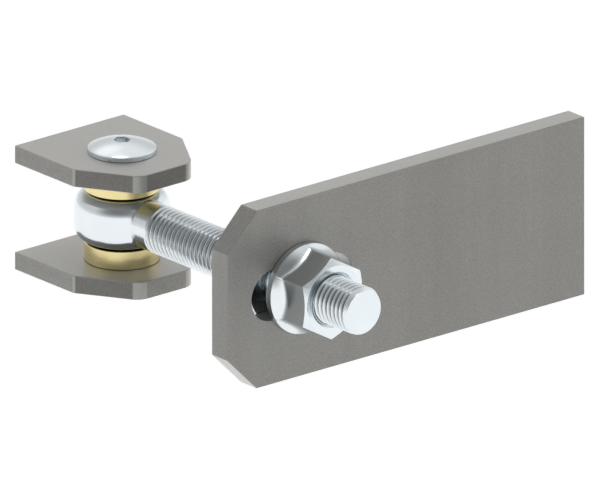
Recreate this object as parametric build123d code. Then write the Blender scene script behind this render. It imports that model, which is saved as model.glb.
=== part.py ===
from build123d import *
import os
from math import cos, radians, sin, tan

# Adjustable gate hinge for welding on. Two ears go on the post. A cross pin and two flanged
# bushes hold an eye bolt between them, and the bolt swings on the bushes. A slotted strap
# plate goes on the gate frame and is clamped on the bolt's thread by two flange nuts.
# Frame: the origin is where the pin's axis crosses the bolt's axis. +Z is up along the pin,
# +X runs along the bolt to its free end and +Y runs along the strap plate. Millimetres.

# Eye bolt, its length taken from the pin's axis
BOLT_DIAMETER = 16.0
BOLT_LENGTH = 120.0
BOLT_END_CHAMFER = 0.7
NECK_LENGTH = 4.8
NECK_STEP = 0.1
EYE_DIAMETER = 31.0
EYE_HEIGHT = 17.2
EYE_EDGE_RADIUS = 5.6
EYE_EDGE_BANDS = 8

# Cross pin with a low domed head
PIN_DIAMETER = 12.0
PIN_HEAD_DIAMETER = 22.0
PIN_HEAD_RIM = 1.6
PIN_HEAD_HEIGHT = 4.2
PIN_DOME_BANDS = 4
PIN_SOCKET_FLATS = 5.0
PIN_SOCKET_DEPTH = 2.6

# Flanged bushes, one above the eye and one below
BUSH_WALL = 2.0
BUSH_FLANGE_DIAMETER = 24.3
BUSH_FLANGE_HEIGHT = 6.2
BUSH_SLEEVE_GAP = 1.8

# Post ears, both alike
EAR_WIDTH = 45.5
EAR_THICKNESS = 6.0
EAR_BACK = 26.3
EAR_FRONT = 22.2
EAR_STRAIGHT_SIDE = 29.3
EAR_NOSE_WIDTH = 21.5
EAR_NOSE_RADIUS = 6.0
EAR_SHOULDER_RADIUS = 3.0

# Strap plate, placed by how far the bolt stands out of the outer nut
PLATE_LENGTH = 149.0
PLATE_HEIGHT = 60.5
PLATE_THICKNESS = 8.0
PLATE_CHAMFER = 12.2
SLOT_CENTRES = 25.0
SLOT_FROM_END = 31.1
BOLT_BEYOND_NUT = 14.4

# Flange nuts, both alike
NUT_FLATS = 24.0
NUT_HEIGHT = 16.0
NUT_FACE_DIAMETER = 22.8
NUT_CHAMFER_ANGLE = 30.0
NUT_COUNTERSINK = 0.6
FLANGE_DIAMETER = 30.2
FLANGE_RIM = 2.3
FLANGE_ANGLE = 40.0
FLANGE_HOLLOW = 3.0
FLANGE_HOLLOW_BANDS = 2

# Clearances, on the radius where the pieces are round
RUNNING_CLEARANCE = 0.05
PIN_HOLE_CLEARANCE = 0.1
SLOT_CLEARANCE = 0.5
EYE_END_GAP = 0.3

# Worked out from the sizes above
NECK_DIAMETER = BOLT_DIAMETER - 2 * NECK_STEP
THREAD_START = EYE_DIAMETER / 2 + NECK_LENGTH
SLEEVE_DIAMETER = PIN_DIAMETER + 2 * (RUNNING_CLEARANCE + BUSH_WALL)
EYE_BORE = SLEEVE_DIAMETER + 2 * RUNNING_CLEARANCE
EAR_FACE = EYE_HEIGHT / 2 + EYE_END_GAP + BUSH_FLANGE_HEIGHT
NUT_BORE = BOLT_DIAMETER + 2 * RUNNING_CLEARANCE
SLOT_WIDTH = BOLT_DIAMETER + 2 * SLOT_CLEARANCE
PLATE_FRONT = BOLT_LENGTH - BOLT_BEYOND_NUT - NUT_HEIGHT
PLATE_BACK = PLATE_FRONT - PLATE_THICKNESS

STANDING = (Align.CENTER, Align.CENTER, Align.MIN)


def turned(outline):
    """A solid turned about the Z axis from a closed outline in the XZ plane."""
    return revolve(make_face(outline), Axis.Z)


def along_x(shape):
    """The shape turned over so that what stood up along +Z runs along +X."""
    return Rot(0, 90, 0) * shape


def ear():
    """One post ear, lying on the XY plane, with its pin hole on the Z axis."""
    side = EAR_WIDTH / 2
    nose = EAR_NOSE_WIDTH / 2
    shoulder = EAR_STRAIGHT_SIDE - EAR_BACK
    blank = make_face(Polyline(
        (-EAR_BACK, -side), (shoulder, -side), (EAR_FRONT, -nose),
        (EAR_FRONT, nose), (shoulder, side), (-EAR_BACK, side), close=True))
    blank = fillet(blank.vertices().group_by(Axis.X)[1], EAR_SHOULDER_RADIUS)
    blank = fillet(blank.vertices().group_by(Axis.X)[-1], EAR_NOSE_RADIUS)
    hole = Circle(PIN_DIAMETER / 2 + PIN_HOLE_CLEARANCE)
    return extrude(blank - hole, EAR_THICKNESS)


def hinge_pin():
    """Cross pin through both ears: a low domed head with a hexagon socket, and a plain shank."""
    shank = PIN_DIAMETER / 2
    head = PIN_HEAD_DIAMETER / 2
    seat = EAR_FACE + EAR_THICKNESS
    crown = seat + PIN_HEAD_HEIGHT
    rise = PIN_HEAD_HEIGHT - PIN_HEAD_RIM
    dome_radius = (head ** 2 + rise ** 2) / (2 * rise)
    dome_centre = crown - dome_radius
    rings = [head * (1 - step / PIN_DOME_BANDS) for step in range(PIN_DOME_BANDS + 1)]
    dome = [(radius, 0, dome_centre + (dome_radius ** 2 - radius ** 2) ** 0.5) for radius in rings]
    shaft = [(0, 0, -seat), (shank, 0, -seat), (shank, 0, seat), (head, 0, seat)]
    outline = Polyline(*shaft, *dome, close=True)
    socket = extrude(RegularPolygon(PIN_SOCKET_FLATS / 2, 6, major_radius=False), PIN_HEAD_HEIGHT)
    return turned(outline) - Pos(0, 0, crown - PIN_SOCKET_DEPTH) * socket


def bush():
    """The upper bush: its flange lies under the upper ear and its sleeve goes down into the eye."""
    bore = PIN_DIAMETER / 2 + RUNNING_CLEARANCE
    sleeve = SLEEVE_DIAMETER / 2
    flange = BUSH_FLANGE_DIAMETER / 2
    seat = EAR_FACE - BUSH_FLANGE_HEIGHT
    end = BUSH_SLEEVE_GAP / 2
    points = [
        (bore, EAR_FACE), (flange, EAR_FACE), (flange, seat), (sleeve, seat), (sleeve, end), (bore, end)]
    return turned(Polyline([(radius, 0, height) for radius, height in points], close=True))


def eye_outline():
    """Half of the eye's outline: its rounded edges run in a few straight bands along the arc."""
    core = EYE_DIAMETER / 2 - EYE_EDGE_RADIUS
    straight = EYE_HEIGHT / 2 - EYE_EDGE_RADIUS
    arc = [radians(90 * step / EYE_EDGE_BANDS) for step in range(EYE_EDGE_BANDS + 1)]
    edge = [(core + EYE_EDGE_RADIUS * cos(turn), straight + EYE_EDGE_RADIUS * sin(turn)) for turn in arc]
    lower = [(radius, 0, -height) for radius, height in reversed(edge)]
    upper = [(radius, 0, height) for radius, height in edge]
    return Polyline((0, 0, -EYE_HEIGHT / 2), *lower, *upper, (0, 0, EYE_HEIGHT / 2), close=True)


def eye_bolt():
    """Eye with rounded edges round the Z axis, and the bolt that grows out of it along +X."""
    eye = turned(eye_outline())
    neck = Cylinder(NECK_DIAMETER / 2, THREAD_START, align=STANDING)
    thread = Cylinder(BOLT_DIAMETER / 2, BOLT_LENGTH - THREAD_START, align=STANDING)
    thread = chamfer(thread.edges().sort_by(Axis.Z)[-1], BOLT_END_CHAMFER)
    bolt = along_x(neck + Pos(0, 0, THREAD_START) * thread)
    return eye + bolt - Cylinder(EYE_BORE / 2, 2 * EYE_HEIGHT)


def strap_plate():
    """Flat bar with two cut corners and a round-ended slot for the bolt at that end."""
    bar = Pos(PLATE_BACK, -SLOT_FROM_END, 0) * Box(
        PLATE_THICKNESS, PLATE_LENGTH, PLATE_HEIGHT, align=(Align.MIN, Align.MIN, Align.CENTER))
    corners = bar.edges().filter_by(Axis.X).group_by(Axis.Y)[0]
    bar = chamfer(corners, PLATE_CHAMFER)
    slot_profile = Plane.YZ * SlotCenterToCenter(SLOT_CENTRES, SLOT_WIDTH)
    return bar - extrude(Pos(PLATE_BACK, 0, 0) * slot_profile, 2 * PLATE_THICKNESS, both=True)


def nut_flange():
    """The nut's flange: an upright rim, a cone, and a hollow that runs up into the flats."""
    flat = NUT_FLATS / 2
    rim = FLANGE_DIAMETER / 2
    corner = FLANGE_RIM + (rim - flat) * tan(radians(FLANGE_ANGLE))
    bend = 90 - FLANGE_ANGLE
    top = corner + FLANGE_HOLLOW * tan(radians(bend / 2))
    arc = [radians(180 + bend * (1 - step / FLANGE_HOLLOW_BANDS)) for step in range(FLANGE_HOLLOW_BANDS + 1)]
    hollow = [(flat + FLANGE_HOLLOW * (1 + cos(turn)), top + FLANGE_HOLLOW * sin(turn)) for turn in arc]
    points = [(0, 0), (rim, 0), (rim, FLANGE_RIM), *hollow, (0, top)]
    return turned(Polyline([(radius, 0, height) for radius, height in points], close=True))


def nut_hexagon():
    """The nut's hexagon, its corners cut back by a cone at the free face."""
    flat = NUT_FLATS / 2
    face = NUT_FACE_DIAMETER / 2
    outside = 2 * flat
    drop = (outside - face) * tan(radians(NUT_CHAMFER_ANGLE))
    points = [(0, 0), (outside, 0), (outside, NUT_HEIGHT - drop), (face, NUT_HEIGHT), (0, NUT_HEIGHT)]
    cone = turned(Polyline([(radius, 0, height) for radius, height in points], close=True))
    return extrude(RegularPolygon(flat, 6, major_radius=False), NUT_HEIGHT) & cone


def flange_nut():
    """Flange nut standing on its bearing face, its bore countersunk at the free face."""
    bore = NUT_BORE / 2
    mouth = bore + 2 * NUT_COUNTERSINK
    points = [(0, -NUT_COUNTERSINK), (bore, -NUT_COUNTERSINK), (bore, NUT_HEIGHT - NUT_COUNTERSINK),
              (mouth, NUT_HEIGHT + NUT_COUNTERSINK), (0, NUT_HEIGHT + NUT_COUNTERSINK)]
    hole = turned(Polyline([(radius, 0, height) for radius, height in points], close=True))
    return nut_flange() + nut_hexagon() - hole


pieces = {
    "upper_ear": Pos(0, 0, EAR_FACE) * ear(),
    "lower_ear": Pos(0, 0, -EAR_FACE - EAR_THICKNESS) * ear(),
    "hinge_pin": hinge_pin(),
    "upper_bush": bush(),
    "lower_bush": Rot(180, 0, 0) * bush(),
    "eye_bolt": eye_bolt(),
    "strap_plate": strap_plate(),
    "inner_nut": Pos(PLATE_BACK, 0, 0) * (Rot(0, -90, 0) * flange_nut()),
    "outer_nut": Pos(PLATE_FRONT, 0, 0) * along_x(flange_nut()),
}

os.makedirs("parts", exist_ok=True)
for name, piece in pieces.items():
    piece.label = name
    export_step(piece, f"parts/{name}.step")
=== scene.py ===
from math import acos, atan2, cos, pi, radians, sin, tan

import bmesh
import bpy
import numpy as np
from mathutils import Matrix, Vector


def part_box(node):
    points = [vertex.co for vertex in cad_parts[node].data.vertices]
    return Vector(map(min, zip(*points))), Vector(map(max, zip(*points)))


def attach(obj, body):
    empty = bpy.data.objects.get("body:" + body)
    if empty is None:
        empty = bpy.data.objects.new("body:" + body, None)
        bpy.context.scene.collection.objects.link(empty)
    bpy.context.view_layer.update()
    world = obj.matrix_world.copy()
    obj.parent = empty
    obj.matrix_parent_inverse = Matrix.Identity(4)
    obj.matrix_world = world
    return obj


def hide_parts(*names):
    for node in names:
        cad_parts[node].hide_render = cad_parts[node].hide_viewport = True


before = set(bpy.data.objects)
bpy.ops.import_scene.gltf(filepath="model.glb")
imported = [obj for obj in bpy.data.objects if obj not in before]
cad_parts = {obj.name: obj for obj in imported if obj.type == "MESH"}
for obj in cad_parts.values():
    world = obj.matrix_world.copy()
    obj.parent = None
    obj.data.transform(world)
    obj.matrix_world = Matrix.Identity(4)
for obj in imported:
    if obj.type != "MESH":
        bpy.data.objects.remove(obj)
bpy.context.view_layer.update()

# Looks for the adjustable gate hinge. Every length is in metres in the frame of the CAD model:
# the origin is where the pin's axis crosses the bolt's, +X runs along the bolt, +Z up the pin.
MM = 0.001
UP = (0, 0, 1)
ALONG_BOLT = (1, 0, 0)

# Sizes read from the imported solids
EYE_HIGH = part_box("eye_bolt")[1]
PIN_LOW, PIN_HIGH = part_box("hinge_pin")
EAR_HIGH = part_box("upper_ear")[1]
BUSH_LOW, BUSH_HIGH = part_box("upper_bush")
PLATE_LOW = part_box("strap_plate")[0]
NUT_LOW, NUT_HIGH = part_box("outer_nut")
EYE_RADIUS = EYE_HIGH.y
EYE_HALF_HEIGHT = EYE_HIGH.z
BOLT_END = EYE_HIGH.x
BUSH_RADIUS = BUSH_HIGH.x
FLANGE_RADIUS = NUT_HIGH.y
NUT_HEIGHT = NUT_HIGH.x - NUT_LOW.x
HEAD_RADIUS = PIN_HIGH.x
HEAD_SEAT = EAR_HIGH.z

# Edge breaks, and how finely a rounding is drawn
EDGE = 0.2 * MM
SLIGHT_EDGE = 0.15 * MM
FINE_EDGE = 0.1 * MM
LARGE_ROUNDING = 2.0 * MM
LARGE_ARC_STEPS = 14
SMALL_ARC_STEPS = 4

# Meshes: points nearer than this are one, and angles from which an edge stays sharp
MERGE = 0.0001 * MM
SHARP_SKIN = radians(38)
SHARP_STEEL = radians(50)

# Eye bolt
BOLT_RADIUS = 8.0 * MM
EYE_BORE = 8.1 * MM
EYE_ROUNDING = 5.6 * MM
EYE_BORE_EDGE = 0.3 * MM
NECK_RADIUS = 7.9 * MM
NECK_FILLET = 1.2 * MM
NECK_SINK = radians(4)
NECK_END = 11.0 * MM
NECK_SEARCH_FROM = 0.9
NECK_SEARCH_STEPS = 400
NECK_ARC_POINTS = 9
EYE_COLUMNS = 240
NECK_COLUMNS = 192
THREAD_START = 20.3 * MM
END_CHAMFER = 0.7 * MM

# Thread of 2 mm pitch: depth below the crest at shares of one pitch, from a crest to the next root
PITCH = 2.0 * MM
THREAD_DEPTH = 1.2269 * MM
HALF_TURN_SHARES = (0.0, 0.055, 0.0825, 0.345, 0.385, 0.43, 0.5)
HALF_TURN_DEPTHS = (0.0, 0.0, 0.057, 0.798, 0.897, 0.978, 1.0)
THREAD_RUN_OUT = 0.9 * MM
THREAD_COLUMNS = 72

# Flange nuts
NUT_FLATS = 12.0 * MM
NUT_CORNER_ROUNDING = 0.45 * MM
NUT_FACE_RADIUS = 11.4 * MM
NUT_CHAMFER = tan(radians(30))
NUT_SHOULDER_EDGE = 0.12 * MM
NUT_BORE = 8.05 * MM
NUT_MOUTH = 9.3 * MM
NUT_SINK = 0.5 * MM
FACE_GAP = 0.02 * MM
FLANGE_RIM = 2.3 * MM
FLANGE_SLOPE = tan(radians(42))
RIM_TAPER = 0.1
HOLLOW_BLEND = 2.6 * MM
HOLLOW_START = 0.35 * MM
HOLLOW_TOP = 5.2 * MM
HOLLOW_ROWS = 15
THREAD_GAP = 0.05 * MM
# Angles from a hexagon's corner that have a column of points, in degrees
CORNER_COLUMNS = (-2.4, -1.6, -1.1, -0.7, -0.35, 0, 0.35, 0.7, 1.1, 1.6, 2.4)
FLAT_COLUMNS = np.arange(5, 56, 2.5)

# Cross pin and bushes
PIN_RADIUS = 6.0 * MM
PIN_END_ROUNDING = 0.8 * MM
HEAD_RIM = 1.6 * MM
HEAD_HEIGHT = 4.2 * MM
HEAD_EDGE = 0.25 * MM
DOME_ROWS = 16
DOME_SHARE = 0.985
SOCKET_FLATS = 2.5 * MM
SOCKET_DEPTH = 2.6 * MM
SOCKET_LIP = 0.1 * MM
SOCKET_CORNER_ROUNDING = 0.1 * MM
DRILL_SHARE = 0.8
DRILL_DEPTH = 0.4 * MM
BUSH_BORE = 6.05 * MM
SLEEVE_RADIUS = 8.05 * MM
FLANGE_HEIGHT = 6.2 * MM
BUSH_COLUMNS = 160

# Flat steel
EAR_EDGE = 0.25 * MM
PLATE_EDGE = 0.3 * MM
STEEL_MERGE = 0.001 * MM
FLAT_WITHIN = radians(0.5)
SAWN_CORNER = radians(20)

# Colours, darkest and lightest where there are two
ROLLED_FACE = ((0.158, 0.154, 0.143, 1), (0.318, 0.313, 0.293, 1))
# Painted shade: the slanting faces by an ear's nose get a darker colour for the shade they are in
SLANT_PAINTED_SHADE = ((0.087, 0.084, 0.074, 1), (0.209, 0.204, 0.190, 1))
# Painted light: the ear's rounded corners get a lighter colour for the light they catch
CORNER_PAINTED_LIGHT = ((0.313, 0.308, 0.286, 1), (0.457, 0.452, 0.430, 1))
# Painted sheen: a lighter colour where steel is seen at a low angle, for the reflection it shows
# there
LOW_ANGLE_PAINTED_SHEEN = ((0.44, 0.430, 0.402, 1), (0.57, 0.562, 0.534, 1))
# Edges lighter both from wear and as a painted highlight of the light they catch
WORN_AND_LIT_STEEL = (0.50, 0.495, 0.475, 1)
# Painted shade in gaps and at contacts between parts
STEEL_PAINTED_GAP_SHADE = (0.04, 0.038, 0.034, 1)
PLATING = ((0.81, 0.87, 0.90, 1), (0.85, 0.90, 0.925, 1))
# Edges lighter both from wear and as a painted highlight
WORN_AND_LIT_PLATING = (0.90, 0.93, 0.95, 1)
# Painted shade in gaps, the nut's mouth and other narrow hollows
PLATING_PAINTED_GAP_SHADE = (0.40, 0.42, 0.44, 1)
# Painted shade in the roots of the bolt's thread
THREAD_ROOT_PAINTED_SHADE = (0.22, 0.24, 0.25, 1)
TURNED_BRASS = ((0.87, 0.745, 0.38, 1), (0.91, 0.79, 0.42, 1))
# Edges lighter both from wear and as a painted highlight
WORN_AND_LIT_BRASS = (0.95, 0.85, 0.52, 1)
# Painted shade in gaps, such as under the eye and at the bushes' contacts
BRASS_PAINTED_GAP_SHADE = (0.03, 0.025, 0.01, 1)
WHITE = (1, 1, 1, 1)

# Camera: no perspective, at the photo's bearing and height above the part
VIEW_BEARING = radians(-40)
VIEW_RISE = radians(20)
VIEW_WIDTH = 0.19182
VIEW_TARGET = Vector((0.03965, 0.04101, -0.01101))
VIEW_DISTANCE = 0.6

# Studio
FLOOR_DROP = 0.22
FLOOR_SIZE = 12.0
FLOOR_COLOUR = (0.95, 0.95, 0.95, 1)
FLOOR_LIFT = 0.38
# Brightness of the surroundings from straight down, 0, to straight up, 1
SURROUNDINGS = ((0.0, 0.95), (0.22, 0.97), (0.40, 0.88), (0.50, 0.84), (0.61, 0.63),
                (0.75, 0.63), (0.85, 0.74), (0.93, 0.74), (1.0, 0.65))
# Bright places: bearing, height, inner and outer spread in degrees, and added brightness
BRIGHT_PLACES = ((145, 55, 10, 40, 0.12), (160, 48, 5, 16, 0.22), (155, 80, 2, 11, 3.4),
                 (80, 15, 10, 40, 0.28))
# The dark wall: bearing and height, inner and outer spread in degrees, brightness, and the
# rise between which it begins and is full
DARK_WALL_AT = (-48, 28)
DARK_WALL_SPREAD = (12, 66)
DARK_WALL_LEVEL = 0.19
DARK_WALL_RISE = (-0.17, 0.47)


def unit(vector):
    return vector / np.linalg.norm(vector)


def rounded(corners):
    """Points of an outline from (radius, height, rounding) corners, each with its own arc."""
    points = []
    for place, (radius, height, rounding) in enumerate(corners):
        corner = np.array((radius, height))
        if rounding == 0:
            points.append(corner)
            continue
        to_last = unit(np.array(corners[place - 1][:2]) - corner)
        to_next = unit(np.array(corners[(place + 1) % len(corners)][:2]) - corner)
        half = acos(np.clip(to_last @ to_next, -1, 1)) / 2
        middle = corner + unit(to_last + to_next) * rounding / sin(half)
        start = corner + to_last * rounding / tan(half) - middle
        end = corner + to_next * rounding / tan(half) - middle
        sweep = pi - 2 * half
        steps = LARGE_ARC_STEPS if rounding > LARGE_ROUNDING else SMALL_ARC_STEPS
        for share in np.linspace(0, 1, steps + 1):
            arm = (sin((1 - share) * sweep) * start + sin(share * sweep) * end) / sin(sweep)
            points.append(middle + arm)
    return np.array(points)


def hexagon_radius(angle, flats, rounding):
    """How far a hexagon with rounded corners, the first at angle 0, reaches at an angle."""
    off_corner = abs((angle + pi / 6) % (pi / 3) - pi / 6)
    flat = flats / cos(pi / 6 - off_corner)
    middle = (flats - rounding) / cos(pi / 6)
    under_root = rounding ** 2 - (middle * sin(off_corner)) ** 2
    if under_root < 0:
        return flat
    return min(flat, middle * cos(off_corner) + under_root ** 0.5)


def even_angles(count):
    return np.linspace(0, 2 * pi, count, endpoint=False)


def hexagon_angles():
    """Angles round a hexagonal piece, closer together at its six corners."""
    steps = np.radians(np.concatenate((CORNER_COLUMNS, FLAT_COLUMNS)))
    return np.sort(np.concatenate([(side * pi / 3 + steps) % (2 * pi) for side in range(6)]))


def along_x(points):
    """Points turned so that what was along +Z lies along +X."""
    return points[:, [2, 0, 1]]


def grid_faces(columns, rows, loop=False, shift=0):
    """Faces of a grid, its columns in a ring. shift moves the last column's rows on the first."""
    faces = []
    for column in range(columns):
        step = shift if column == columns - 1 else 0
        beside = (column + 1) % columns
        for row in range(rows if loop else rows - 1):
            upper = (row + 1) % rows
            if upper + step >= rows:
                continue
            faces.append((column * rows + row, beside * rows + row + step,
                          beside * rows + upper + step, column * rows + upper))
    return faces


def turned(outline_at, angles, loop=False):
    """Points and faces of a skin turned round +Z, from the outline that each angle has."""
    outlines = [outline_at(angle) for angle in angles]
    rows = len(outlines[0])
    points = np.concatenate([
        np.column_stack((line[:, 0] * cos(angle), line[:, 0] * sin(angle), line[:, 1]))
        for angle, line in zip(angles, outlines)])
    return points, grid_faces(len(angles), rows, loop=loop)


def skin(name, parts, material, body, nodes):
    """One piece from (points, faces) parts, closed up, on its body, put in for CAD nodes."""
    mesh = bpy.data.meshes.new(name)
    points, faces, count = [], [], 0
    for part_points, part_faces in parts:
        points.append(part_points)
        faces += [tuple(corner + count for corner in face) for face in part_faces]
        count += len(part_points)
    mesh.from_pydata(np.concatenate(points).tolist(), [], faces)
    build = bmesh.new()
    build.from_mesh(mesh)
    bmesh.ops.remove_doubles(build, verts=build.verts, dist=MERGE)
    bmesh.ops.recalc_face_normals(build, faces=build.faces)
    build.to_mesh(mesh)
    build.free()
    finished(name, mesh, material, body, nodes, SHARP_SKIN)


def finished(name, mesh, material, body, nodes, sharp):
    """The object of a mesh: smooth but for its sharp edges, with its material and body."""
    mesh.shade_smooth()
    mesh.set_sharp_from_angle(angle=sharp)
    mesh.materials.clear()
    mesh.materials.append(material)
    piece = bpy.data.objects.new(name, mesh)
    bpy.context.scene.collection.objects.link(piece)
    even = piece.modifiers.new("even shading", "WEIGHTED_NORMAL")
    even.keep_sharp = True
    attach(piece, body)
    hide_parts(*nodes)


def cut_steel(name, node, material, body, edge):
    """A flat steel piece: the solid's own form with its sawn edges broken."""
    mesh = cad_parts[node].data.copy()
    mesh.name = name
    build = bmesh.new()
    build.from_mesh(mesh)
    bmesh.ops.remove_doubles(build, verts=build.verts, dist=STEEL_MERGE)
    bmesh.ops.dissolve_limit(
        build, angle_limit=FLAT_WITHIN, verts=build.verts, edges=build.edges)
    sharp_edges = [
        line for line in build.edges
        if len(line.link_faces) == 2 and line.calc_face_angle() > SAWN_CORNER]
    bmesh.ops.bevel(build, geom=sharp_edges, offset=edge, segments=2, profile=0.5,
                    affect="EDGES", clamp_overlap=True)
    build.to_mesh(mesh)
    build.free()
    finished(name, mesh, material, body, [node], SHARP_STEEL)


# Thread
def thread_depth(x, angle):
    """Depth below the crest of a right-hand thread along +X, at a place and an angle about +X."""
    turn = ((x - THREAD_START) / PITCH - angle / (2 * pi)) % 1
    from_crest = np.minimum(turn, 1 - turn)
    return THREAD_DEPTH * np.interp(from_crest, HALF_TURN_SHARES, HALF_TURN_DEPTHS)


def thread_grid(start, end, radius_at, cap_radius):
    """Skin of a thread between two places along +X, with a flat ring or disc at both ends."""
    half = np.array(HALF_TURN_SHARES)
    shares = np.concatenate((half[:-1], 1 - half[:0:-1]))
    turns = int((end - start) / PITCH) + 4
    first_turn = np.floor((start - THREAD_START) / PITCH) - 1
    lead = (first_turn + np.arange(turns)[:, None] + shares).ravel()
    angles = even_angles(THREAD_COLUMNS)
    columns = []
    for angle in angles:
        x = np.clip(THREAD_START + (lead + angle / (2 * pi)) * PITCH, start, end)
        reach = radius_at(x, angle)
        columns.append(np.column_stack((x, reach * cos(angle), reach * sin(angle))))
    thread = (np.concatenate(columns), grid_faces(THREAD_COLUMNS, len(lead), shift=len(shares)))
    rings = []
    for x in (start, end):
        pairs = []
        for angle in angles:
            for reach in (cap_radius, radius_at(x, angle)):
                pairs.append((x, reach * cos(angle), reach * sin(angle)))
        rings.append((np.array(pairs), grid_faces(THREAD_COLUMNS, 2)))
    return [thread] + rings


def bolt_radius(x, angle):
    run_out = np.clip((x - THREAD_START) / THREAD_RUN_OUT, 0, 1)
    end_cut = BOLT_RADIUS - END_CHAMFER + (BOLT_END - x)
    return np.minimum(BOLT_RADIUS - thread_depth(x, angle) * run_out, end_cut)


def nut_thread_radius(x, angle):
    return np.minimum(BOLT_RADIUS - thread_depth(x, angle) + THREAD_GAP, NUT_BORE)


# Eye bolt
def eye_radius(height):
    """The eye's outer radius at a height above its middle."""
    over = np.clip(np.abs(height) - (EYE_HALF_HEIGHT - EYE_ROUNDING), 0, EYE_ROUNDING)
    return EYE_RADIUS - EYE_ROUNDING + np.sqrt(EYE_ROUNDING ** 2 - over ** 2)


def neck_outline(angle):
    """The neck's outline at an angle about the bolt's axis: a fillet off the eye, then straight."""
    reach = np.linspace(
        NECK_RADIUS * NECK_SEARCH_FROM, NECK_RADIUS + NECK_FILLET, NECK_SEARCH_STEPS)
    height = reach * sin(angle)
    reach = reach[np.abs(height) < EYE_HALF_HEIGHT - 0.01 * MM]
    height = reach * sin(angle)
    face = np.sqrt(eye_radius(height) ** 2 - (reach * cos(angle)) ** 2)
    slope = np.gradient(face, reach)
    length = np.sqrt(1 + slope ** 2)
    centre_x = face + NECK_FILLET / length
    centre_reach = reach - NECK_FILLET * slope / length
    place = int(np.argmin(np.abs(centre_reach - NECK_RADIUS - NECK_FILLET)))
    centre = np.array((centre_x[place], NECK_RADIUS + NECK_FILLET))
    touch = atan2(reach[place] - centre[1], face[place] - centre[0]) % (2 * pi)
    sweep = np.linspace(touch - NECK_SINK, 1.5 * pi, NECK_ARC_POINTS)
    fillet = np.column_stack((
        centre[1] + NECK_FILLET * np.sin(sweep), centre[0] + NECK_FILLET * np.cos(sweep)))
    tail = np.array(((NECK_RADIUS, THREAD_START), (0, THREAD_START)))
    return np.concatenate((((0, NECK_END),), fillet, tail))


def eye_outline(angle):
    return rounded([
        (EYE_BORE, -EYE_HALF_HEIGHT, EYE_BORE_EDGE), (EYE_RADIUS, -EYE_HALF_HEIGHT, EYE_ROUNDING),
        (EYE_RADIUS, EYE_HALF_HEIGHT, EYE_ROUNDING), (EYE_BORE, EYE_HALF_HEIGHT, EYE_BORE_EDGE)])


def eye_bolt(material):
    eye = turned(eye_outline, even_angles(EYE_COLUMNS), loop=True)
    neck_points, neck_faces = turned(neck_outline, even_angles(NECK_COLUMNS))
    thread = thread_grid(THREAD_START, BOLT_END, bolt_radius, 0)
    skin("eye_bolt_forging", [eye, (along_x(neck_points), neck_faces)] + thread, material,
         "eye_bolt", ["eye_bolt"])


# Flange nuts
def nut_outline(angle):
    """Outline round the nut's ring of metal at an angle, standing on its bearing face."""
    hexagon = hexagon_radius(angle, NUT_FLATS, NUT_CORNER_ROUNDING)
    hollow = []
    for above_rim in np.linspace(HOLLOW_START, HOLLOW_TOP, HOLLOW_ROWS):
        cone = FLANGE_RADIUS - above_rim / FLANGE_SLOPE
        near = max(HOLLOW_BLEND - abs(hexagon - cone), 0)
        reach = max(hexagon, cone) + near ** 2 / (4 * HOLLOW_BLEND)
        limit = FLANGE_RADIUS - RIM_TAPER * above_rim
        hollow.append((min(reach, limit), FLANGE_RIM + above_rim, 0))
    shoulder = NUT_HEIGHT - (hexagon - NUT_FACE_RADIUS) * NUT_CHAMFER
    return rounded([
        (NUT_BORE, NUT_SINK, 0), (NUT_MOUTH, FACE_GAP, FINE_EDGE),
        (FLANGE_RADIUS, FACE_GAP, EDGE), (FLANGE_RADIUS, FLANGE_RIM, SLIGHT_EDGE), *hollow,
        (hexagon, shoulder, NUT_SHOULDER_EDGE), (NUT_FACE_RADIUS, NUT_HEIGHT, EDGE),
        (NUT_MOUTH, NUT_HEIGHT, SLIGHT_EDGE), (NUT_BORE, NUT_HEIGHT - NUT_SINK, 0)])


def flange_nuts(material):
    points, faces = turned(nut_outline, hexagon_angles(), loop=True)
    standing = along_x(points)[:, [0, 2, 1]]
    outer = standing + np.array((NUT_LOW.x, 0, 0))
    thread = thread_grid(
        NUT_LOW.x + NUT_SINK, NUT_HIGH.x - NUT_SINK, nut_thread_radius, NUT_BORE)
    skin("outer_flange_nut", [(outer, faces)] + thread, material,
         "outer_nut", ["outer_nut"])
    inner = standing * np.array((-1, 1, 1)) + np.array((PLATE_LOW.x, 0, 0))
    skin("inner_flange_nut", [(inner, faces)], material,
         "inner_nut", ["inner_nut"])


# Cross pin
def pin_outline(angle):
    """The pin's outline at an angle: its hexagon socket, its domed head, then its shank."""
    crown = HEAD_SEAT + HEAD_HEIGHT
    rise = HEAD_HEIGHT - HEAD_RIM
    dome_radius = (HEAD_RADIUS ** 2 + rise ** 2) / (2 * rise)
    socket = hexagon_radius(angle, SOCKET_FLATS, SOCKET_CORNER_ROUNDING)
    reach = np.linspace(socket + SOCKET_LIP, HEAD_RADIUS * DOME_SHARE, DOME_ROWS)
    height = crown - dome_radius + np.sqrt(dome_radius ** 2 - reach ** 2)
    floor = crown - SOCKET_DEPTH
    inside = np.array((
        (0, floor - DRILL_DEPTH), (socket * DRILL_SHARE, floor), (socket, floor),
        (socket, height[0] - SOCKET_LIP)))
    rim_top = crown - dome_radius + np.sqrt(dome_radius ** 2 - HEAD_RADIUS ** 2)
    outside = rounded([
        (reach[-2], height[-2], 0), (HEAD_RADIUS, rim_top, HEAD_EDGE),
        (HEAD_RADIUS, HEAD_SEAT, SLIGHT_EDGE), (PIN_RADIUS, HEAD_SEAT, 0),
        (PIN_RADIUS, PIN_LOW.z, PIN_END_ROUNDING), (0, PIN_LOW.z, 0)])
    return np.concatenate((inside, np.column_stack((reach[:-1], height[:-1])), outside[1:]))


def cross_pin(material):
    skin("cross_pin", [turned(pin_outline, hexagon_angles())], material,
         "post_bracket", ["hinge_pin"])


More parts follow.
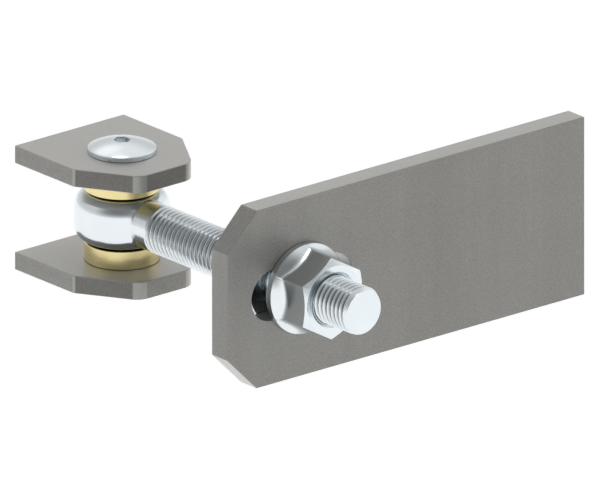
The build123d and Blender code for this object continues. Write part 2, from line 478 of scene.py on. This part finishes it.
# Bushes
def bush_outline(angle):
    seat = BUSH_HIGH.z - FLANGE_HEIGHT
    return rounded([
        (BUSH_BORE, BUSH_LOW.z, EDGE), (BUSH_BORE, BUSH_HIGH.z, EDGE),
        (BUSH_RADIUS, BUSH_HIGH.z, EDGE), (BUSH_RADIUS, seat, EDGE),
        (SLEEVE_RADIUS, seat, FINE_EDGE), (SLEEVE_RADIUS, BUSH_LOW.z, EDGE)])


def bushes(material):
    points, faces = turned(bush_outline, even_angles(BUSH_COLUMNS), loop=True)
    skin("upper_flanged_bush", [(points, faces)], material,
         "post_bracket", ["upper_bush"])
    skin("lower_flanged_bush", [(points * np.array((1, 1, -1)), faces)], material,
         "post_bracket", ["lower_bush"])


# Materials
def put(tree, kind, inputs=None, **settings):
    """A node with its settings, its inputs set to values or joined to other nodes' outputs."""
    node = tree.nodes.new(kind)
    for setting, value in settings.items():
        setattr(node, setting, value)
    for socket, value in (inputs or {}).items():
        if isinstance(value, bpy.types.NodeSocket):
            tree.links.new(value, node.inputs[socket])
        else:
            node.inputs[socket].default_value = value
    return node


def maths(tree, operation, first, second, clamp=False):
    return put(tree, "ShaderNodeMath", {0: first, 1: second}, operation=operation,
               use_clamp=clamp).outputs[0]


def vector_maths(tree, operation, first, second, output=0):
    """A vector, or with output 1 a number, from two vectors."""
    return put(tree, "ShaderNodeVectorMath", {0: first, 1: second},
               operation=operation).outputs[output]


def spread(tree, value, start, end, low=0.0, high=1.0, kind="LINEAR"):
    """value from start to end, spread from low to high."""
    return put(tree, "ShaderNodeMapRange", {
        "Value": value, "From Min": start, "From Max": end, "To Min": low, "To Max": high},
        interpolation_type=kind).outputs[0]


def noise(tree, place, scale, detail, roughness=0.5, distortion=0.0):
    return put(tree, "ShaderNodeTexNoise", {
        "Vector": place, "Scale": scale, "Detail": detail, "Roughness": roughness,
        "Distortion": distortion}).outputs[0]


def blended(tree, share, first, second):
    """A number between two others."""
    return put(tree, "ShaderNodeMix", {0: share, 2: first, 3: second},
               data_type="FLOAT").outputs[0]


def mixed(tree, share, first, second):
    """A colour between two others."""
    return put(tree, "ShaderNodeMix", {0: share, 6: first, 7: second},
               data_type="RGBA").outputs[2]


def effect(name, inputs, outputs):
    """An empty node group with inputs (name: kind, value) and outputs (name: kind)."""
    group = bpy.data.node_groups.new(name, "ShaderNodeTree")
    for label, (kind, value) in inputs.items():
        socket = group.interface.new_socket(label, in_out="INPUT", socket_type=kind)
        socket.default_value = value
    for label, kind in outputs.items():
        group.interface.new_socket(label, in_out="OUTPUT", socket_type=kind)
    return group, put(group, "NodeGroupInput").outputs


def placed(tree, group, **values):
    """The outputs of a node group placed in a material, with the values that it has there."""
    node = put(tree, "ShaderNodeGroup", node_tree=group)
    for label, value in values.items():
        node.inputs[label].default_value = value
    return node.outputs


def own_place(tree, output="Object"):
    return put(tree, "ShaderNodeTexCoord").outputs[output]


def rolled_grain():
    """Fine rolled grain with faint long streaks along one direction."""
    group, given = effect(
        "rolled grain",
        {"Grain Scale": ("NodeSocketFloat", 2000.0), "Streak Scale": ("NodeSocketFloat", 60.0),
         "Stretch": ("NodeSocketVector", (1, 1, 1))},
        {"Tone": "NodeSocketFloat", "Height": "NodeSocketFloat"})
    place = own_place(group)
    fine = noise(group, place, given["Grain Scale"], 5.0, 0.65)
    drawn = vector_maths(group, "MULTIPLY", place, given["Stretch"])
    streak = noise(group, drawn, given["Streak Scale"], 6.0, 0.6)
    cloud = noise(group, place, 55.0, 3.0)
    both = blended(group, 0.2, fine, streak)
    put(group, "NodeGroupOutput", {"Tone": blended(group, 0.06, both, cloud), "Height": both})
    return group


def lathe_rings():
    """Fine rings left by a lathe round an axis through the origin."""
    group, given = effect(
        "lathe rings",
        {"Axis": ("NodeSocketVector", UP), "Ring Scale": ("NodeSocketFloat", 2500.0)},
        {"Rings": "NodeSocketFloat"})
    place = own_place(group)
    along = vector_maths(group, "DOT_PRODUCT", place, given["Axis"], 1)
    on_axis = put(group, "ShaderNodeVectorMath", {0: given["Axis"], "Scale": along},
                  operation="SCALE").outputs[0]
    away = vector_maths(group, "DISTANCE", place, on_axis, 1)
    pair = put(group, "ShaderNodeCombineXYZ", {"X": along, "Y": away}).outputs[0]
    put(group, "NodeGroupOutput", {"Rings": noise(group, pair, given["Ring Scale"], 3.0)})
    return group


def worn_and_lit_edges():
    """A mask that is 1 where a surface bends sharply and 0 on flat ground, for edges made lighter
    both by wear and as a painted highlight.
    """
    group, given = effect(
        "worn and lit edges",
        {"Width": ("NodeSocketFloat", 0.0005), "Gain": ("NodeSocketFloat", 4.0)},
        {"Mask": "NodeSocketFloat"})
    soft = put(group, "ShaderNodeBevel", {"Radius": given["Width"]}, samples=4).outputs[0]
    plain = put(group, "ShaderNodeNewGeometry").outputs["Normal"]
    match = vector_maths(group, "DOT_PRODUCT", soft, plain, 1)
    bend = maths(group, "SUBTRACT", 1.0, match)
    put(group, "NodeGroupOutput", {"Mask": maths(group, "MULTIPLY", bend, given["Gain"], True)})
    return group


def face_light_masks():
    """Masks of an ear's faces by direction: the slanting ones by its nose, for painted shade, and
    the rounded corners, for painted light.
    """
    group, given = effect(
        "painted face light",
        {"Looks": ("NodeSocketVector", (0.53, 0.848, 0)), "Spread": ("NodeSocketFloat", 0.012)},
        {"Slant Shade": "NodeSocketFloat", "Rounded": "NodeSocketFloat"})
    normal = own_place(group, "Normal")
    folded = put(group, "ShaderNodeVectorMath", {0: normal}, operation="ABSOLUTE").outputs[0]
    match = vector_maths(group, "DOT_PRODUCT", folded, given["Looks"], 1)
    nearest = match
    for axis in put(group, "ShaderNodeSeparateXYZ", {0: folded}).outputs:
        nearest = maths(group, "MAXIMUM", nearest, axis)
    off_slant, off_flat = [
        spread(group, maths(group, "SUBTRACT", 1.0, value), 0.0, given["Spread"],
               kind="SMOOTHSTEP")
        for value in (match, nearest)]
    put(group, "NodeGroupOutput", {
        "Slant Shade": maths(group, "SUBTRACT", 1.0, off_slant), "Rounded": off_flat})
    return group


def crevice_shade():
    """A mask that is 1 far into gaps and grooves narrower than its reach, and 0 on open ground, for
    painted shade there.
    """
    group, given = effect(
        "crevice shade",
        {"Reach": ("NodeSocketFloat", 0.0015), "Open": ("NodeSocketFloat", 0.6)},
        {"Mask": "NodeSocketFloat"})
    open_sky = put(group, "ShaderNodeAmbientOcclusion", {"Distance": given["Reach"]},
                   samples=8).outputs["AO"]
    put(group, "NodeGroupOutput", {"Mask": spread(group, open_sky, given["Open"], 0.15)})
    return group


def thread_root_shade():
    """A mask that is 1 in the roots of the bolt's thread and 0 on its crests and elsewhere, for
    painted shade in the roots.
    """
    group, given = effect(
        "painted thread root shade",
        {"Start": ("NodeSocketFloat", THREAD_START),
         "End": ("NodeSocketFloat", BOLT_END - 1.0 * MM),
         "Crest": ("NodeSocketFloat", BOLT_RADIUS - 0.2 * MM),
         "Root": ("NodeSocketFloat", BOLT_RADIUS - 1.0 * MM)},
        {"Mask": "NodeSocketFloat"})
    place = own_place(group)
    across = vector_maths(group, "MULTIPLY", place, (0, 1, 1))
    away = put(group, "ShaderNodeVectorMath", {0: across}, operation="LENGTH").outputs[1]
    along = put(group, "ShaderNodeSeparateXYZ", {0: place}).outputs["X"]
    mask = spread(group, away, given["Crest"], given["Root"])
    for value, limit in ((along, given["Start"]), (given["End"], along)):
        mask = maths(group, "MULTIPLY", mask, maths(group, "GREATER_THAN", value, limit))
    put(group, "NodeGroupOutput", {"Mask": mask})
    return group


def plating_texture():
    """Soft clouds and fine scratches of a bright plated surface."""
    group, given = effect(
        "plating",
        {"Cloud Scale": ("NodeSocketFloat", 120.0), "Scratch Scale": ("NodeSocketFloat", 500.0)},
        {"Cloud": "NodeSocketFloat", "Scratch": "NodeSocketFloat"})
    place = own_place(group)
    put(group, "NodeGroupOutput", {
        "Cloud": noise(group, place, given["Cloud Scale"], 4.0),
        "Scratch": noise(group, place, given["Scratch Scale"], 6.0, 0.7, 1.5)})
    return group


def from_noise(tree, value, low, high):
    """A noise, which runs from about 0.3 to 0.7, spread from low to high."""
    return spread(tree, value, 0.3, 0.7, low, high)


def new_material(name):
    material = bpy.data.materials.new(name)
    material.use_nodes = True
    material.node_tree.nodes.clear()
    return material, material.node_tree


def shaded(tree, inputs):
    shader = put(tree, "ShaderNodeBsdfPrincipled", inputs)
    put(tree, "ShaderNodeOutputMaterial", {"Surface": shader.outputs[0]})


def bumped(tree, strength, distance, height):
    return put(tree, "ShaderNodeBump", {
        "Strength": strength, "Distance": distance, "Height": height}).outputs[0]


def raw_steel(name, stretch, corners, edge_wear_and_light):
    """Rolled steel: streaks along the axis that stretch shortens; painted shade on the slanting
    faces by an ear's nose, painted light on its rounded corners, a painted sheen at low angles,
    edges lighter from wear and painted highlight, and painted shade in gaps.
    """
    material, tree = new_material(name)
    rolled = placed(tree, GRAIN, Stretch=stretch)
    tone = from_noise(tree, rolled["Tone"], 0.0, 1.0)
    face_light = placed(tree, FACE_LIGHT_MASKS)
    # Painted shade: the slanting faces by the nose get a darker colour for the shade they are in
    flat = mixed(tree, face_light["Slant Shade"], mixed(tree, tone, *ROLLED_FACE), mixed(tree, tone, *SLANT_PAINTED_SHADE))
    # Painted light: the rounded corners get a lighter colour for the light they catch
    round_share = maths(tree, "MULTIPLY", face_light["Rounded"], corners)
    body = mixed(tree, round_share, flat, mixed(tree, tone, *CORNER_PAINTED_LIGHT))
    # Painted sheen: lighter colour where the surface is seen at a low angle, standing for its
    # reflection
    facing = put(tree, "ShaderNodeLayerWeight", {"Blend": 0.5}).outputs["Facing"]
    painted_sheen_share = spread(tree, facing, 0.42, 0.72, kind="SMOOTHSTEP")
    with_painted_sheen = mixed(tree, painted_sheen_share, body, mixed(tree, tone, *LOW_ANGLE_PAINTED_SHEEN))
    # Edges lighter both from wear and as a painted highlight
    worn_and_lit = placed(tree, EDGES, Width=0.0005, Gain=edge_wear_and_light)
    bright = mixed(tree, worn_and_lit["Mask"], with_painted_sheen, WORN_AND_LIT_STEEL)
    # Painted shade: darker colour in gaps and at contacts, where shade falls
    painted_gap_shade = placed(tree, PAINTED_CREVICE_SHADE, Reach=0.0006, Open=0.85)
    shaded(tree, {
        "Base Color": mixed(tree, painted_gap_shade["Mask"], bright, STEEL_PAINTED_GAP_SHADE), "Metallic": 0.45,
        "Roughness": from_noise(tree, rolled["Tone"], 0.46, 0.36), "Coat Weight": 1.0,
        "Coat Roughness": 0.35, "Normal": bumped(tree, 0.25, 0.00004, rolled["Height"])})
    return material


def zinc(name, axis):
    """Bright plated steel turned about an axis, with painted shade in the roots of the bolt's
    thread and in gaps, and edges lighter from wear and painted highlight.
    """
    material, tree = new_material(name)
    plate = placed(tree, PLATED)
    lathe = placed(tree, RINGS, Axis=axis)
    body = mixed(tree, from_noise(tree, plate["Cloud"], 0.0, 1.0), *PLATING)
    # Edges lighter both from wear and as a painted highlight
    worn_and_lit = placed(tree, EDGES, Width=0.0003, Gain=1.0)
    bright = mixed(tree, worn_and_lit["Mask"], body, WORN_AND_LIT_PLATING)
    # Painted shade: darker colour in gaps and narrow hollows, where shade falls
    painted_gap_shade = placed(tree, PAINTED_CREVICE_SHADE, Reach=0.0008)
    gaps = mixed(tree, painted_gap_shade["Mask"], bright, PLATING_PAINTED_GAP_SHADE)
    # Painted shade: darker colour in the roots of the bolt's thread
    shaded(tree, {
        "Base Color": mixed(tree, placed(tree, PAINTED_ROOT_SHADE)["Mask"], gaps, THREAD_ROOT_PAINTED_SHADE),
        "Roughness": from_noise(tree, plate["Scratch"], 0.16, 0.22), "Metallic": 1.0,
        "Normal": bumped(tree, 0.08, 0.00002, lathe["Rings"])})
    return material


def brass(name):
    """Turned brass with a satin finish, painted shade in gaps, and edges lighter from wear and
    painted highlight.
    """
    material, tree = new_material(name)
    plate = placed(tree, PLATED)
    lathe = placed(tree, RINGS)
    body = mixed(tree, from_noise(tree, plate["Cloud"], 0.0, 1.0), *TURNED_BRASS)
    # Edges lighter both from wear and as a painted highlight
    worn_and_lit = placed(tree, EDGES, Width=0.0003, Gain=1.5)
    bright = mixed(tree, worn_and_lit["Mask"], body, WORN_AND_LIT_BRASS)
    # Painted shade: darker colour in gaps and at contacts, where shade falls
    painted_gap_shade = placed(tree, PAINTED_CREVICE_SHADE, Reach=0.0007, Open=0.85)
    shaded(tree, {
        "Base Color": mixed(tree, painted_gap_shade["Mask"], bright, BRASS_PAINTED_GAP_SHADE),
        "Roughness": from_noise(tree, lathe["Rings"], 0.27, 0.30), "Metallic": 1.0,
        "Normal": bumped(tree, 0.03, 0.00003, lathe["Rings"])})
    return material


# Studio
def studio_floor():
    mesh = bpy.data.meshes.new("studio_floor")
    half = FLOOR_SIZE / 2
    level = PLATE_LOW.z - FLOOR_DROP
    corners = ((-half, -half), (half, -half), (half, half), (-half, half))
    mesh.from_pydata([(x, y, level) for x, y in corners], [], [(0, 1, 2, 3)])
    floor = bpy.data.objects.new("studio_floor", mesh)
    bpy.context.scene.collection.objects.link(floor)
    material, tree = new_material("pale_floor")
    ray = put(tree, "ShaderNodeLightPath").outputs
    seen = maths(tree, "MAXIMUM", ray["Is Camera Ray"], ray["Is Glossy Ray"])
    shaded(tree, {
        "Base Color": FLOOR_COLOUR, "Roughness": 0.9, "Emission Color": WHITE,
        "Emission Strength": maths(tree, "MULTIPLY", seen, FLOOR_LIFT)})
    mesh.materials.append(material)
    floor.visible_diffuse = False


def aim(bearing, rise):
    """Unit vector at a bearing from +X and a height above level, both in degrees."""
    turn, lift = radians(bearing), radians(rise)
    return cos(lift) * cos(turn), cos(lift) * sin(turn), sin(lift)


def lobe(tree, direction, towards, inner, outer):
    """1 within an inner angle of a direction, fading to 0 at an outer one, both in degrees."""
    match = vector_maths(tree, "DOT_PRODUCT", direction, towards, 1)
    return spread(tree, match, cos(radians(outer)), cos(radians(inner)), kind="SMOOTHSTEP")


def studio_light():
    """Pale surroundings, dark above the camera's side, with a few soft bright places."""
    world = bpy.data.worlds.new("studio")
    bpy.context.scene.world = world
    world.use_nodes = True
    tree = world.node_tree
    tree.nodes.clear()
    direction = own_place(tree, "Generated")
    rise = put(tree, "ShaderNodeSeparateXYZ", {0: direction}).outputs["Z"]
    ramp = put(tree, "ShaderNodeValToRGB", {0: spread(tree, rise, -1.0, 1.0)})
    stops = ramp.color_ramp.elements
    for place, _ in SURROUNDINGS[1:-1]:
        stops.new(place)
    for stop, (_, level) in zip(stops, SURROUNDINGS):
        stop.color = (level, level, level, 1)
    lit = ramp.outputs[0]
    for bearing, height, inner, outer, gain in BRIGHT_PLACES:
        glow = lobe(tree, direction, aim(bearing, height), inner, outer)
        lit = put(tree, "ShaderNodeMath", {0: glow, 1: gain, 2: lit},
                  operation="MULTIPLY_ADD").outputs[0]
    above = spread(tree, rise, *DARK_WALL_RISE, kind="SMOOTHSTEP")
    flattened = vector_maths(tree, "MULTIPLY", direction, (1, 1, 0.5))
    tall = put(tree, "ShaderNodeVectorMath", {0: flattened}, operation="NORMALIZE").outputs[0]
    wall = lobe(tree, tall, aim(*DARK_WALL_AT), *DARK_WALL_SPREAD)
    level = blended(tree, maths(tree, "MULTIPLY", above, wall), lit, DARK_WALL_LEVEL)
    around = put(tree, "ShaderNodeBackground", {"Color": level, "Strength": 1.0}).outputs[0]
    white = put(tree, "ShaderNodeBackground", {"Color": WHITE, "Strength": 1.0}).outputs[0]
    seen = put(tree, "ShaderNodeLightPath").outputs["Is Camera Ray"]
    both = put(tree, "ShaderNodeMixShader", {0: seen, 1: around, 2: white}).outputs[0]
    put(tree, "ShaderNodeOutputWorld", {"Surface": both})


def camera():
    lens = bpy.data.cameras.new("camera")
    lens.type = "ORTHO"
    lens.ortho_scale = VIEW_WIDTH
    lens.clip_start = 0.01
    lens.clip_end = 20.0
    eye = bpy.data.objects.new("camera", lens)
    bpy.context.scene.collection.objects.link(eye)
    back = Vector((cos(VIEW_RISE) * cos(VIEW_BEARING), cos(VIEW_RISE) * sin(VIEW_BEARING),
                   sin(VIEW_RISE)))
    right = Vector(UP).cross(back).normalized()
    up = back.cross(right)
    turn = Matrix((right, up, back)).transposed().to_4x4()
    eye.matrix_world = Matrix.Translation(VIEW_TARGET + back * VIEW_DISTANCE) @ turn
    bpy.context.scene.camera = eye


GRAIN = rolled_grain()
RINGS = lathe_rings()
EDGES = worn_and_lit_edges()
FACE_LIGHT_MASKS = face_light_masks()
PAINTED_CREVICE_SHADE = crevice_shade()
PAINTED_ROOT_SHADE = thread_root_shade()
PLATED = plating_texture()

ear_steel = raw_steel("ear_raw_steel", (0.05, 1.0, 1.0), 1.0, 1.8)
plate_steel = raw_steel("plate_raw_steel", (1.0, 1.0, 0.05), 0.0, 4.0)
pin_zinc = zinc("pin_zinc", UP)
bolt_zinc = zinc("bolt_zinc", ALONG_BOLT)
bush_brass = brass("bush_brass")

cut_steel("upper_post_ear", "upper_ear", ear_steel, "post_bracket", EAR_EDGE)
cut_steel("lower_post_ear", "lower_ear", ear_steel, "post_bracket", EAR_EDGE)
cut_steel("slotted_plate", "strap_plate", plate_steel, "strap_plate", PLATE_EDGE)
cross_pin(pin_zinc)
bushes(bush_brass)
eye_bolt(bolt_zinc)
flange_nuts(bolt_zinc)

studio_floor()
studio_light()
camera()
bpy.context.scene.view_settings.view_transform = "Standard"
